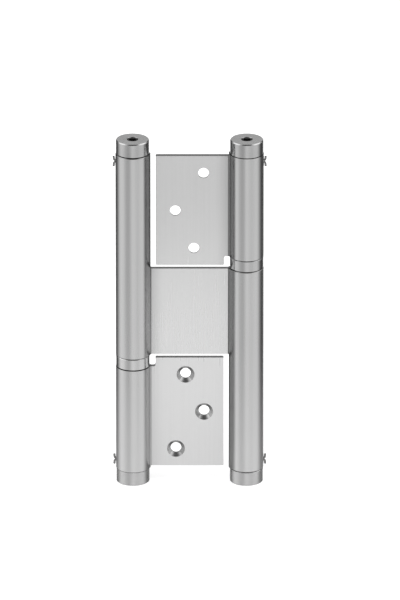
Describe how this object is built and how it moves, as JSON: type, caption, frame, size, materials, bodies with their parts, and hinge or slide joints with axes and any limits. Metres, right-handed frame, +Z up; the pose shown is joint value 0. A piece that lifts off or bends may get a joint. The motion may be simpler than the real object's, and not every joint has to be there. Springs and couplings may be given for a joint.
{
  "type": "double action spring hinge",
  "caption": "Double action spring hinge for a swing door: two rolled barrels on a centre plate, a screw leaf on each, hex-socket end caps and split locking pins.",
  "frame": {"origin": "middle of the base, on the plane through both barrel axes, at the level of the lower caps' end faces", "axes": "+X from the jamb leaf's barrel to the door leaf's barrel, -Y towards the door's edge, +Z up along the barrels"},
  "size_m": [0.0854, 0.019, 0.203],
  "materials": {
    "brushed_sheet": "satin stainless steel, brushed along the barrels",
    "turned_steel": "satin turned stainless steel",
    "pin_wire": "drawn stainless wire, a little darker",
    "bright_steel": "bright drawn steel bar, lightly greased",
    "spring_steel": "oil-blackened spring steel",
    "bush_polymer": "dark grey bearing plastic"
  },
  "bodies": {
    "jamb_leaf": {"lower_leaf": "brushed_sheet", "left_bottom_cap": "turned_steel", "left_bottom_lock_pin": "pin_wire", "left_bush": "bush_polymer", "left_spindle": "bright_steel", "left_spring_collar": "bright_steel", "left_collar_pin": "bright_steel"},
    "centre": {"centre_plate": "brushed_sheet", "left_top_cap": "turned_steel", "left_top_lock_pin": "pin_wire", "left_bearing_ring": "turned_steel", "left_spring": "spring_steel", "right_bottom_cap": "turned_steel", "right_bottom_lock_pin": "pin_wire", "right_bearing_ring": "turned_steel", "right_spring": "spring_steel"},
    "door_leaf": {"upper_leaf": "brushed_sheet", "right_top_cap": "turned_steel", "right_top_lock_pin": "pin_wire", "right_bush": "bush_polymer", "right_spindle": "bright_steel", "right_spring_collar": "bright_steel", "right_collar_pin": "bright_steel"}
  },
  "joints": [
    {"name": "jamb_barrel_swing", "type": "hinge", "parent": "jamb_leaf", "child": "centre", "pos_m": [-0.0315, 0, 0.072], "axis": [0, 0, -1], "range_deg": [0, 180], "stiffness_Nm_per_rad": 0.8, "springref_deg": -57.3, "deforming": ["left_spring"]},
    {"name": "door_barrel_swing", "type": "hinge", "parent": "centre", "child": "door_leaf", "pos_m": [0.0315, 0, 0.131], "axis": [0, 0, 1], "range_deg": [0, 180], "stiffness_Nm_per_rad": 0.8, "springref_deg": -57.3, "deforming": ["right_spring"]}
  ]
}
